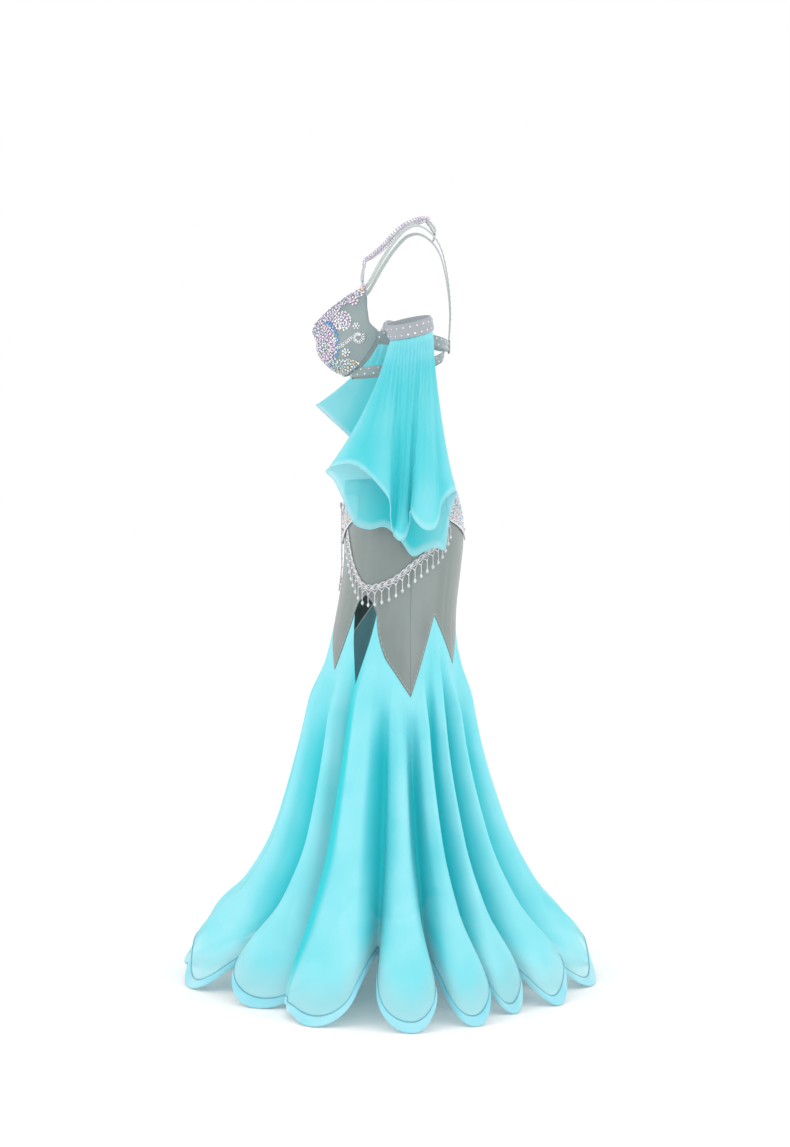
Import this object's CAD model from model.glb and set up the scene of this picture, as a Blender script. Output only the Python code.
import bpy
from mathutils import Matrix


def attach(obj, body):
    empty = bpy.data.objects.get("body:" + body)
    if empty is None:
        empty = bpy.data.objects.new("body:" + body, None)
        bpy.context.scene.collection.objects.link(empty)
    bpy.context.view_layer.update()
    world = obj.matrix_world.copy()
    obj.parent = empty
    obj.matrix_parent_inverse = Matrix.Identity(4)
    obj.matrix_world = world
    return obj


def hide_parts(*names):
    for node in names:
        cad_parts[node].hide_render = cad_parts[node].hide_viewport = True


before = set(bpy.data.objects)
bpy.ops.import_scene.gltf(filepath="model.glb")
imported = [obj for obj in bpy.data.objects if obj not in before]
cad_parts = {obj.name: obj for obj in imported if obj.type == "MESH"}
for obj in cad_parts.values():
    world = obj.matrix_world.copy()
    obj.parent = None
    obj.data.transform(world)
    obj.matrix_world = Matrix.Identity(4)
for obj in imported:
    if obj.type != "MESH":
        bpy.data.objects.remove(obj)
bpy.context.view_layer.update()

# Belly dance costume in its worn form: bra, two chiffon sleeves and a mermaid skirt.
# Sizes are in millimetres above the floor until a mesh is made, and bearings are degrees round
# the body: 0 is the wearer's left, 90 the back, -90 the front.

import math

import bpy
import numpy as np
from mathutils import Vector

hipHeight = 900  # the row's origin is this far above the floor
rng = np.random.default_rng(11)


def toRow(points):
    return (np.asarray(points, float) - [0, 0, hipHeight]) / 1000


def cosd(a):
    return np.cos(np.radians(a))


def sind(a):
    return np.sin(np.radians(a))


def ease(t):
    t = np.clip(t, 0, 1)
    return t * t * (3 - 2 * t)


def lerp(a, b, t):
    return a + (b - a) * t


def stacked(x, y, z):
    return np.stack(np.broadcast_arrays(x, y, z), axis=-1).astype(float)


# A table's column at some places on its key column, by a smooth curve through the rows.
def readTable(table, key, place, column):
    rows = np.array(table["rows"], float)
    k = rows[:, table["columns"].index(key)]
    c = rows[:, table["columns"].index(column)]
    place = np.asarray(place, float)
    i = np.clip(np.searchsorted(k, place, side="right") - 1, 0, len(k) - 2)
    before = np.maximum(i - 1, 0)
    after = np.minimum(i + 2, len(k) - 1)
    run = k[i + 1] - k[i]
    t = np.clip((place - k[i]) / run, 0, 1)
    slopeA = (c[i + 1] - c[before]) / (k[i + 1] - k[before]) * run
    slopeB = (c[after] - c[i]) / (k[after] - k[i]) * run
    return (
        c[i] * (2 * t**3 - 3 * t**2 + 1)
        + slopeA * (t**3 - 2 * t**2 + t)
        + c[i + 1] * (3 * t**2 - 2 * t**3)
        + slopeB * (t**3 - t**2)
    )


# Where bearings lie among the ridges of a ring of flutes: turn is 0 on a ridge, half a turn in a valley.
def fluteAt(flutes, bearing):
    at = np.array([row[0] for row in flutes["rows"]], float)
    around = at[0] + np.mod(np.asarray(bearing, float) - at[0], 360)
    i = np.searchsorted(at, around, side="right") - 1
    j = (i + 1) % len(at)
    gap = np.mod(at[j] - at[i], 360)
    share = (around - at[i]) / gap
    turn = np.where(share <= 0.5, share, share - 1) * 2 * math.pi
    return {"turn": turn, "half": gap / 2, "from": i, "to": j, "share": share}


def fluteValue(flutes, flute, column):
    values = np.array([row[flutes["columns"].index(column)] for row in flutes["rows"]], float)
    return lerp(values[flute["from"]], values[flute["to"]], ease(flute["share"]))


def meshPiece(
    name, points, faceSizes, loops, material, slot, smooth=True, colours=None, values=None, uv=None
):
    mesh = bpy.data.meshes.new(name)
    points = np.asarray(points, float)
    mesh.vertices.add(len(points))
    mesh.vertices.foreach_set("co", points.ravel())
    mesh.loops.add(len(loops))
    mesh.loops.foreach_set("vertex_index", np.asarray(loops, np.int32))
    starts = np.concatenate([[0], np.cumsum(faceSizes)[:-1]]).astype(np.int32)
    mesh.polygons.add(len(faceSizes))
    mesh.polygons.foreach_set("loop_start", starts)
    mesh.polygons.foreach_set("loop_total", np.asarray(faceSizes, np.int32))
    mesh.update(calc_edges=True)
    mesh.validate()
    mesh.polygons.foreach_set("use_smooth", np.broadcast_to(smooth, len(faceSizes)).copy())
    if colours is not None:
        tint = mesh.attributes.new("tint", "FLOAT_COLOR", "CORNER")
        tint.data.foreach_set("color", np.column_stack([colours, np.ones(len(colours))]).ravel())
    for key, value in (values or {}).items():
        layer = mesh.attributes.new(key, "FLOAT", "POINT")
        layer.data.foreach_set("value", np.asarray(value, float).ravel())
    if uv is not None:
        layer = mesh.uv_layers.new(name="cloth")
        index = np.zeros(len(mesh.loops), np.int32)
        mesh.loops.foreach_get("vertex_index", index)
        layer.data.foreach_set("uv", np.asarray(uv, float).reshape(-1, 2)[index].ravel())
    mesh.materials.append(material)
    piece = bpy.data.objects.new(name, mesh)
    bpy.context.scene.collection.objects.link(piece)
    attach(piece, "root")
    return piece


def gridLoops(rows, columns, loop):
    i, j = np.meshgrid(np.arange(rows - 1), np.arange(columns if loop else columns - 1), indexing="ij")
    k = (j + 1) % columns
    here, below = i * columns, (i + 1) * columns
    return np.stack([here + j, here + k, below + k, below + j], axis=-1).reshape(-1)


# Outward normals of a grid of points; outwardFrom is a point or a grid of points inside it.
def gridNormals(points, outwardFrom, loop=False):
    wide = np.concatenate([points[:, -2:-1], points, points[:, 1:2]], axis=1) if loop else points
    along = np.gradient(wide, axis=1)
    if loop:
        along = along[:, 1:-1]
    down = np.gradient(points, axis=0)
    normal = np.cross(along, down)
    normal /= np.maximum(np.linalg.norm(normal, axis=-1, keepdims=True), 1e-9)
    facing = np.sum(normal * (points - outwardFrom), axis=-1, keepdims=True)
    return normal * np.where(np.median(facing) < 0, -1, 1)


# Real distances along a grid's rows and columns, in metres, as its map.
def clothMap(points):
    across = np.linalg.norm(np.diff(points, axis=1, prepend=points[:, :1]), axis=-1).cumsum(axis=1)
    down = np.linalg.norm(np.diff(points, axis=0, prepend=points[:1]), axis=-1).cumsum(axis=0)
    return np.stack([across.mean(axis=0)[None, :] + 0 * across, down], axis=-1) / 1000


def sheetPiece(name, points, material, slot, loop=False, values=None, thick=0):
    rows, columns = points.shape[:2]
    loops = gridLoops(rows, columns, loop)
    piece = meshPiece(
        name,
        toRow(points).reshape(-1, 3),
        np.full(len(loops) // 4, 4),
        loops,
        material,
        slot,
        values=values,
        uv=clothMap(points),
    )
    if thick:
        shell = piece.modifiers.new("thickness", "SOLIDIFY")
        shell.thickness = thick / 1000
        shell.offset = 0
    return piece


def areaOf(piece):
    return sum(p.area for p in piece.data.polygons)


# The area comes from the mesh itself, and both faces of a folded band count. How much of its
# rectangle a shape fills is an assumption.
cut = {"eased": 0.98, "filled": 0.8, "godetEased": 0.99, "godetAcross": 0.82, "godetLong": 0.72}


# States a piece of cloth by the short side of its cut, in metres.
def declareSheet(piece, tall):
    flat = areaOf(piece) * cut["eased"]
    rectangle = (round(flat / tall / cut["filled"], 3), tall)


# A socket that maths can be written with.
class Wire:
    def __init__(self, finish, socket):
        self.finish, self.socket = finish, socket

    def maths(self, operation, a, b):
        node = self.finish.node("ShaderNodeMath", {"operation": operation}, {0: a, 1: b})
        return Wire(self.finish, node.outputs[0])

    def __add__(self, other):
        return self.maths("ADD", self, other)

    def __radd__(self, other):
        return self.maths("ADD", other, self)

    def __sub__(self, other):
        return self.maths("SUBTRACT", self, other)

    def __rsub__(self, other):
        return self.maths("SUBTRACT", other, self)

    def __mul__(self, other):
        return self.maths("MULTIPLY", self, other)

    def __rmul__(self, other):
        return self.maths("MULTIPLY", other, self)


class Finish:
    def __init__(self, name, **values):
        self.material = bpy.data.materials.new(name)
        self.material.use_nodes = True
        self.tree = self.material.node_tree
        self.tree.nodes.clear()
        sockets = {key.replace("_", " "): value for key, value in values.items()}
        self.shader = self.node("ShaderNodeBsdfPrincipled", {}, sockets)
        self.node("ShaderNodeOutputMaterial", {}, {"Surface": self.shader.outputs[0]})

    def node(self, kind, settings=None, values=None):
        node = self.tree.nodes.new(kind)
        for key, value in (settings or {}).items():
            if key == "stops":
                self.setStops(node.color_ramp, value)
            else:
                setattr(node, key, value)
        for key, value in (values or {}).items():
            if isinstance(value, Wire):
                value = value.socket
            if isinstance(value, bpy.types.NodeSocket):
                self.tree.links.new(value, node.inputs[key])
            else:
                node.inputs[key].default_value = value
        return node

    def setStops(self, ramp, stops):
        while len(ramp.elements) < len(stops):
            ramp.elements.new(0.5)
        for element, (place, colour) in zip(ramp.elements, stops):
            element.position = place
            element.color = (*colour, 1)

    def wire(self, kind, settings=None, values=None, output=0):
        return Wire(self, self.node(kind, settings, values).outputs[output])

    def value(self, name):
        return self.wire("ShaderNodeAttribute", {"attribute_name": name}, output="Fac")

    def place(self, kind="Object"):
        return self.wire("ShaderNodeTexCoord", output=kind)

    def noise(self, scale, detail=3, kind="Object", stretch=None):
        vector = self.place(kind)
        if stretch:
            vector = self.wire("ShaderNodeMapping", {}, {"Vector": vector, "Scale": stretch})
        return self.wire("ShaderNodeTexNoise", {}, {"Vector": vector, "Scale": scale, "Detail": detail})

    def between(self, value, low, high):
        values = {"Value": value, "From Min": low, "From Max": high}
        return self.wire("ShaderNodeMapRange", {"clamp": True}, values)

    def wave(self, direction, scale):
        values = {"Vector": self.place("UV"), "Scale": scale}
        return self.wire("ShaderNodeTexWave", {"bands_direction": direction}, values)

    def mixed(self, a, b, factor):
        colour = lambda c: c if isinstance(c, Wire) else (*c, 1)
        settings = {"data_type": "RGBA", "blend_type": "MIX"}
        node = self.node("ShaderNodeMix", settings, {"Factor": factor, 6: colour(a), 7: colour(b)})
        return Wire(self, node.outputs[2])

    def feed(self, **wires):
        for key, wire in wires.items():
            self.tree.links.new(wire.socket, self.shader.inputs[key.replace("_", " ")])

    def bump(self, height, strength, distance):
        values = {"Height": height, "Strength": strength, "Distance": distance}
        self.feed(Normal=self.wire("ShaderNodeBump", {}, values))


def linear(*parts):
    shares = [part / 255 for part in parts]
    return tuple(c / 12.92 if c <= 0.04045 else ((c + 0.055) / 1.055) ** 2.4 for c in shares)


chiffon = {
    "light": linear(148, 228, 237),
    "mid": linear(112, 219, 229),
    "deep": linear(44, 205, 214),
    "rim": linear(190, 236, 242),
    "weave": 2600,  # threads a metre, coarser than the real ones
    "skirt": {"sheer": 0.72, "lined": 0.97},  # how opaque it is at the hem, and above
    "sleeve": {"sheer": 0.8, "lined": 0.84},
}


def makeChiffon(name, sheer, lined):
    cloth = Finish(name, Roughness=0.7, Sheen_Weight=0.25, Sheen_Roughness=0.4, Specular_IOR_Level=0.25)
    fold, rim = cloth.value("fold"), cloth.value("rim")
    blotch = cloth.noise(9, 2)
    base = cloth.mixed(chiffon["light"], chiffon["mid"], cloth.between(blotch + fold * 0.5, 0.35, 0.85))
    base = cloth.mixed(base, chiffon["deep"], cloth.between(fold, 0.22, 0.9))
    base = cloth.mixed(base, chiffon["rim"], rim * 0.55)
    cloth.feed(Base_Color=base, Alpha=cloth.between(rim, 0.0, 1.0) * (sheer - lined) + lined)
    warp, weft = (cloth.wave(way, chiffon["weave"] / 6) for way in "XY")
    crinkle = cloth.noise(160, 3, stretch=(1, 1, 0.4))
    cloth.bump(warp * weft * 0.3 + crinkle, 0.25, 0.0006)
    return cloth.material


satin = {
    "grey": linear(126, 137, 134),
    "light": linear(158, 168, 166),
    "cup": linear(132, 149, 151),
    "arm": linear(160, 166, 175),
    "strap": linear(186, 196, 193),
    "cord": linear(30, 176, 192),
    "fell": linear(92, 104, 101),
    "weave": 1400,
    "stitches": 55,
    "stitchAt": 3.2,
}


# Where a cloth has the value "edge", in millimetres from its edge, a row of stitches runs beside it.
def makeSatin(name, colour, seamed=False):
    cloth = Finish(name, Roughness=0.4, Sheen_Weight=0.35, Sheen_Roughness=0.35, Anisotropic=0.5)
    soft = cloth.noise(14, 3, stretch=(1, 1, 0.3))
    base = cloth.mixed(colour, satin["light"], cloth.between(soft, 0.45, 0.95))
    if seamed:
        beside = cloth.value("edge") - satin["stitchAt"]
        away = cloth.wire("ShaderNodeMath", {"operation": "ABSOLUTE"}, {0: beside})
        dash = cloth.between(cloth.wave("X", satin["stitches"]), 0.25, 0.5)
        stitch = (1 - cloth.between(away, 0.3, 0.7)) * dash
        base = cloth.mixed(base, satin["strap"], stitch * 0.8)
        fell = 1 - cloth.between(cloth.value("edge"), 0.0, 2.2)
        base = cloth.mixed(base, satin["fell"], fell * 0.5)
    cloth.feed(Base_Color=base, Roughness=cloth.between(cloth.noise(60, 2), 0.2, 0.8) * 0.12 + 0.34)
    twill = cloth.wave("DIAGONAL", satin["weave"] / 6)
    cloth.bump(twill * 0.4 + cloth.noise(220, 2), 0.2, 0.0004)
    return cloth.material


def makeBraid():
    cloth = Finish("hem band cloth", Roughness=0.5, Sheen_Weight=0.3, Alpha=0.93)
    patch = cloth.between(cloth.noise(11, 2), 0.3, 0.7)
    cloth.feed(Base_Color=cloth.mixed(linear(170, 232, 243), linear(128, 218, 236), patch))
    cloth.bump(cloth.noise(300, 2), 0.2, 0.0004)
    return cloth.material


skirtChiffon = makeChiffon("skirt chiffon", **chiffon["skirt"])
sleeveChiffon = makeChiffon("sleeve chiffon", **chiffon["sleeve"])
greySatin = makeSatin("grey stretch satin", satin["grey"])
yokeSatin = makeSatin("yoke stretch satin", satin["grey"], seamed=True)
armSatin = makeSatin("arm band satin", satin["arm"])
cordCloth = makeSatin("hem stitch cord", satin["cord"])
cupSatin = makeSatin("cup satin", satin["cup"])
strapCloth = makeSatin("strap cloth", satin["strap"])
braidCloth = makeBraid()
print("finishes ready")


seamGap = 0.3  # left at the tops of godets and sleeves
skirt = {
    "yokeTop": 924,
    "fluteRun": 130,  # a godet opens into full flutes over this much below its seam
    "slitAt": -34,
    "slitFade": 26,
    "slitLip": 0.72,
    "slitTuck": 0.95,
    "tuckFade": 19,
}
skirtSections = {
    "columns": ("z", "side", "front", "back", "flute", "lift", "square", "spread", "lag", "roll"),
    "rows": [
        (0, 250, 231, 210, 163, 92, 3.2, 0.3, 1, -20),
        (18, 249, 230, 209, 161, 90, 3, 0.3, 1, -8),
        (48, 246, 226, 205, 152, 84, 2.5, 0.27, 0.95, 0),
        (80, 239, 219, 199, 137, 77, 2, 0.19, 0.8, 0),
        (115, 231, 209, 192, 119, 68, 1.6, 0.12, 0.6, 0),
        (150, 223, 200, 185, 103, 58, 1.4, 0.07, 0.45, 0),
        (235, 203, 176, 163, 79, 36, 1.2, 0.03, 0.2, 0),
        (300, 192, 164, 150, 65, 20, 1.15, 0, 0.1, 0),
        (423, 174, 148, 130, 46, 0, 1.1, 0, 0, 0),
        (537, 161, 136, 121, 31, 0, 1.1, 0, 0, 0),
        (600, 156, 128, 119, 22, 0, 1.1, 0, 0, 0),
        (651, 153, 121, 117, 16, 0, 1.1, 0, 0, 0),
        (700, 153, 111, 117, 10, 0, 1.1, 0, 0, 0),
        (775, 163, 99, 125, 0, 0, 1, 0, 0, 0),
        (830, 168, 96, 130, 0, 0, 1, 0, 0, 0),
        (870, 167, 95, 126, 0, 0, 1, 0, 0, 0),
        (945, 158, 95, 112, 0, 0, 1, 0, 0, 0),
    ],
}
ridges = {
    "columns": ("at", "reach", "lag", "skew", "broad"),
    "rows": [
        (-104, 1.07, -26, 0.5, 1), (-76, 0.96, -24, 0.4, 1), (-48, 0.8, -12, 0.1, 0.9),
        (-20, 0.93, 0, 0, 1.8), (5, 1.02, 14, -0.1, 1), (23, 0.94, 18, -0.2, 0.9),
        (39, 0.74, 8, -0.2, 0.9), (54, 0.9, 18, -0.25, 0.9), (78, 0.97, 24, -0.4, 1),
        (102, 1, 18, -0.4, 1), (126, 0.92, -16, 0.1, 1), (153, 0.98, -20, -0.2, 1.3),
        (179, 1, -8, 0.2, 1), (203, 0.9, 16, 0.2, 1.3), (228, 0.96, 8, 0.3, 1),
    ],
}
zigzag = [
    (-118, 590), (-90, 700), (-62, 592), (-34, 702), (14, 550), (39, 698), (66, 602),
    (90, 698), (114, 602), (139.5, 698), (166, 550), (203, 698), (242, 590),
]
godets = [
    ("godet_front", -118, -62, 0),
    ("godet_front_left", -62, -34, -1),
    ("godet_side_left", -34, 14, 1),
    ("godet_back_left", 14, 66, 0),
    ("godet_back", 66, 114, 0),
    ("godet_back_right", 114, 166, 0),
    ("godet_front_right", 166, 242, 0),
]
slitEdges = {
    "columns": ("z", "front", "side"),
    "rows": [
        (0, -27, -37), (200, -29, -36), (420, -31, -34.5), (543, -32.5, -32),
        (600, -36, -27.5), (650, -39.5, -22.5), (702, -43, -18),
    ],
}
slitArch = [(-39, 724), (-31, 738), (-23, 724)]
sideSeams = (14, 166)
sideSeamInset = 0.08
# Soft creases that run down the godets beside the main flutes: bearing, where they start and end,
# width in degrees and depth, which is negative for a trough.
skirtCreases = [
    (-110, 560, 120, 2.6, 3.0), (-98, 640, 200, 2.0, -2.5), (-84, 660, 150, 2.4, 2.6),
    (-70, 570, 90, 1.8, -2.2), (-56, 560, 180, 2.2, 2.4), (-44, 500, 60, 1.6, -2.0),
    (-27, 690, 260, 2.4, 2.6), (-13, 640, 90, 2.6, -3.0), (-3, 600, 150, 1.8, 2.4),
    (10, 530, 40, 2.2, -3.2), (19, 560, 200, 1.5, 2.6), (29, 640, 110, 1.7, -2.4),
    (35, 680, 300, 1.4, 2.2), (46, 650, 160, 2.0, -2.6), (60, 590, 80, 2.4, 2.8),
    (71, 600, 240, 1.8, -2.4), (84, 670, 130, 2.2, 2.4), (95, 680, 220, 2.0, -2.8),
    (108, 600, 90, 2.4, 2.6), (120, 600, 180, 2.0, -2.4), (133, 660, 120, 2.2, 3.0),
    (146, 660, 240, 1.8, -2.2), (160, 560, 100, 2.4, 2.6), (171, 560, 60, 2.0, -2.8),
    (187, 640, 160, 2.4, 2.4), (196, 680, 210, 1.8, -2.4), (212, 660, 110, 2.2, 2.8),
    (221, 620, 190, 2.0, -2.2), (236, 590, 80, 2.4, 2.6),
]
yokeCreases = [
    (-150, 900, 640, 3.0, 0.8), (-128, 860, 600, 4.0, -1.0), (-104, 800, 640, 3.0, 0.9),
    (-72, 820, 620, 3.4, -0.8), (-50, 860, 690, 3.0, 0.9), (-12, 900, 620, 3.6, -1.1),
    (4, 880, 570, 3.0, 1.2), (22, 860, 600, 2.6, -1.0), (34, 900, 700, 3.2, 0.9),
    (52, 820, 640, 2.8, -1.1), (63, 760, 600, 2.2, 1.0), (80, 830, 690, 3.2, -0.8),
    (100, 830, 700, 3.2, 0.8), (118, 800, 620, 2.8, -1.0), (148, 880, 640, 3.4, 1.0),
    (172, 880, 570, 3.2, -1.0), (190, 840, 680, 3.0, 0.9),
]


def hipPoint(bearing, z, out=0):
    bearing, z = np.asarray(bearing, float), np.asarray(z, float)
    side = readTable(skirtSections, "z", z, "side") + out
    back = readTable(skirtSections, "z", z, "back") + out
    front = readTable(skirtSections, "z", z, "front") + out
    deep = np.where(sind(bearing) > 0, back, front)
    return stacked(side * cosd(bearing), deep * sind(bearing), z)


def seamHeight(bearing):
    at, z = np.array(zigzag, float).T
    return np.interp(at[0] + np.mod(np.asarray(bearing, float) - at[0], 360), at, z)


def nearSlit(bearing, slitSide, fade=None):
    if slitSide == 0:
        return np.zeros_like(np.asarray(bearing, float))
    away = np.mod(slitSide * (np.asarray(bearing, float) - skirt["slitAt"]) + 1, 360) - 1
    return np.clip(1 - away / (fade or skirt["slitFade"]), 0, 1)


def slitBearing(bearing, z, slitSide):
    if slitSide == 0:
        return np.asarray(bearing, float) + 0 * z
    edge = readTable(slitEdges, "z", z, "front" if slitSide < 0 else "side")
    return bearing + nearSlit(bearing, slitSide) * (edge - skirt["slitAt"])


def creaseDepth(creases, bearing, z):
    depth = 0 * (bearing + z)
    for at, top, low, width, deep in creases:
        away = (np.mod(bearing - at + 180, 360) - 180) / width
        run = np.clip((top - z) / (top - low), 0, 1)
        depth = depth + deep * np.exp(-(away**2)) * np.sin(math.pi * run) ** 0.7
    return depth


# How far down a valley a place on the godets lies, from 0 on a ridge to 1.
def fluteDip(bearing, height):
    flute = fluteAt(ridges, bearing)
    lag = np.radians(fluteValue(ridges, flute, "lag")) * readTable(skirtSections, "z", height, "lag")
    square = readTable(skirtSections, "z", height, "square") * fluteValue(ridges, flute, "broad")
    return ((1 - np.cos(flute["turn"] - lag * np.cos(flute["turn"] / 2) ** 2)) / 2) ** square


def godetPoint(bearing, height, slitSide):
    bearing, height = np.broadcast_arrays(np.asarray(bearing, float), np.asarray(height, float))
    read = lambda column: readTable(skirtSections, "z", height, column)
    flute = fluteAt(ridges, bearing)
    turn = flute["turn"]
    opened = ease((seamHeight(bearing) - height) / skirt["fluteRun"])
    edge = ease(nearSlit(bearing, slitSide)) if slitSide > 0 else 0
    tucked = skirt["slitTuck"] * ease(nearSlit(bearing, slitSide, skirt["tuckFade"])) if slitSide < 0 else 0
    crest = (1 - fluteDip(bearing, height) * (1 - skirt["slitLip"] * edge)) * (1 - tucked)
    curl = read("roll") * np.maximum(0, np.cos(turn)) ** 2
    reach = read("flute") * opened * fluteValue(ridges, flute, "reach") * crest - curl
    skew = fluteValue(ridges, flute, "skew")
    rise = read("lift") * (np.hypot(1, skew) - np.cos(turn) - skew * np.sin(turn)) / 2 * (1 - 0.9 * edge)
    spread = readTable(skirtSections, "z", np.maximum(height + rise, 0), "spread")
    bulge = flute["half"] * spread * np.sin(turn) * (1 - edge)
    p = hipPoint(slitBearing(bearing, height, slitSide) + bulge, np.maximum(height, 0), reach)
    p[..., 2] = height + rise
    return p


def insideSkirt(points):
    return points * [0, 0, 1]


def aboveFloor(points):
    return np.maximum(points, [-np.inf, -np.inf, 0])


# Neighbours lap a little. A further column on each side gives the edge its normals and is left off.
godetCloth = {
    "lap": 0.22,
    "beside": 0.3,
    "columns": 1.7,  # for each degree
    "rows": 118,
    "crowding": 0.85,
    "hem": 2,
    "inset": 0.75,
    "edgeFade": 3,
    "creaseEnd": 30,
    "creaseFade": 80,
    "shadeRun": 220,
    "rimStart": 10,
    "rimRun": 75,
}


def godetGrid(first, last, slitSide):
    cloth = godetCloth
    low = first - (cloth["lap"] if first != skirt["slitAt"] else 0)
    high = last + (cloth["lap"] if last != skirt["slitAt"] else 0)
    bearings = np.linspace(low, high, int((high - low) * cloth["columns"]) + 1)
    bearings = np.concatenate([[low - cloth["beside"]], bearings, [high + cloth["beside"]]])[None, :]
    down = np.linspace(0, 1, cloth["rows"])[:, None] ** cloth["crowding"]
    height = (seamHeight(bearings) - seamGap / 2) * (1 - down) + cloth["hem"] * down
    points = godetPoint(bearings, height, slitSide)
    normal = gridNormals(points, insideSkirt(points))
    edgeFade = ease((bearings - low) / cloth["edgeFade"]) * ease((high - bearings) / cloth["edgeFade"])
    crease = creaseDepth(skirtCreases, bearings, height) * edgeFade
    crease = crease * ease((height - cloth["creaseEnd"]) / cloth["creaseFade"])
    points = points + normal * (crease - cloth["inset"])[..., None]
    opened = ease((seamHeight(bearings) - height) / cloth["shadeRun"])
    fold = np.clip(fluteDip(bearings, height) * opened + crease * -0.05 * opened, 0, 1)
    rim = ease(1 - (height - cloth["rimStart"]) / cloth["rimRun"]) + 0 * bearings
    return points[:, 1:-1], {"fold": fold[:, 1:-1], "rim": rim[:, 1:-1]}


def makeGodets():
    for name, first, last, slitSide in godets:
        points, values = godetGrid(first, last, slitSide)
        piece = sheetPiece("cloth_" + name, points, skirtChiffon, "aqua_chiffon", values=values)
        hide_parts(name)


# The hem band's section and the stitched cords, as heights above the hem and distances out.
hemBand = {
    "columns": 900,
    "middle": -0.75,
    "section": [
        (0.2, -0.3), (0.0, 0.0), (0.2, 0.3), (2, 0.75), (13.5, 0.75), (15.5, 0.3), (15.5, -0.3),
        (13.5, -0.75), (2, -0.75), (0.2, -0.3),
    ],
    "cord": [(15.6, 0), (16.1, 0.5), (16.6, 0), (16.1, -0.5), (15.6, 0)],
    "cordOut": {"outside": 0.2, "inside": -1.7},
}


def hemRow(height, out):
    start, fade = skirt["slitAt"], skirt["slitFade"]
    bearings = np.linspace(start, start + 360, hemBand["columns"])
    fromSlit, toSlit = bearings < start + fade, bearings > start + 360 - fade
    row = []
    for part, side in ((fromSlit, 1), (~fromSlit & ~toSlit, 0), (toSlit, -1)):
        at = bearings[part]
        centre = godetPoint(at, height, side)
        across = godetPoint(at + 0.2, height, side) - godetPoint(at - 0.2, height, side)
        normal = np.cross(across, godetPoint(at, height + 1, side) - centre)
        normal /= np.linalg.norm(normal, axis=-1, keepdims=True)
        row.append(centre + normal * out)
    return np.concatenate(row)


def makeHemBraid():
    rings = [hemRow(height, out + hemBand["middle"]) for height, out in hemBand["section"]]
    piece = sheetPiece("hem_band", aboveFloor(np.array(rings)), braidCloth, "hem_braid")
    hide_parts("hem_braid")
    declareSheet(piece, 0.032)
    for name, out in hemBand["cordOut"].items():
        rings = [hemRow(height, out + rise) for height, rise in hemBand["cord"]]
        sheetPiece("hem_cord_" + name, aboveFloor(np.array(rings)), cordCloth, "hem_braid")


def makeYoke(name, first, last):
    bearings = np.linspace(first + sideSeamInset, last - sideSeamInset, int((last - first) * 1.6))
    local = np.mod(bearings + 180, 360) - 180
    low = seamHeight(local) + 0.6
    beside = np.abs(local - skirt["slitAt"]) < skirt["slitFade"]
    side = np.where(local < skirt["slitAt"], -1, 1)
    moved = local.copy()
    for sign in (-1, 1):
        pick = beside & (side == sign)
        moved[pick] = slitBearing(local[pick], low[pick], sign)
    low = np.where(beside, low + 0.9, low)
    at = bearings + (moved - local)
    columns = list(zip(at, low))
    if beside.any():
        columns += [(a + 360, z) for a, z in slitArch]
    columns.sort()
    at, low = np.array(columns).T
    down = np.linspace(0, 1, 64)[:, None]
    z = skirt["yokeTop"] + (low[None, :] - skirt["yokeTop"]) * down
    points = hipPoint(at[None, :] + 0 * z, z)
    normal = gridNormals(points, insideSkirt(points))
    crease = creaseDepth(yokeCreases, at[None, :], z)
    crease = crease * ease((z - low[None, :]) / 20) * ease((skirt["yokeTop"] - 9 - z) / 30)
    points = points + normal * (crease * 0.6 - 0.5)[..., None]
    slope = np.gradient(low, np.radians(at) * 155)
    values = {"edge": (z - low[None, :]) / np.hypot(1, slope)[None, :]}
    piece = sheetPiece("cloth_" + name, points, yokeSatin, "grey_satin", values=values, thick=0.8)
    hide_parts(name)
    declareSheet(piece, 0.36)


# The waistband's section: height and distance out.
waistband = [
    (924.6, 0), (925.5, 0.5), (930, 0.7), (936, 0.7), (941, 0.6), (944, 0.5), (945, 0.1), (945, -1.0),
    (944, -1.3), (936, -1.3), (925.5, -1.3), (924.6, -1.0),
]


def makeWaistband():
    at = np.linspace(0, 360, 220)[:-1]
    heights, outs = np.array(waistband).T
    points = hipPoint(at[None, :], heights[:, None], outs[:, None])
    piece = sheetPiece("cloth_waistband", points, greySatin, "grey_satin", loop=True)
    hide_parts("waistband")
    declareSheet(piece, 0.044)


makeYoke("yoke_back", sideSeams[0], sideSeams[1])
makeYoke("yoke_front", sideSeams[1], sideSeams[0] + 360)
makeWaistband()
makeGodets()
makeHemBraid()
print("skirt made")


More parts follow.
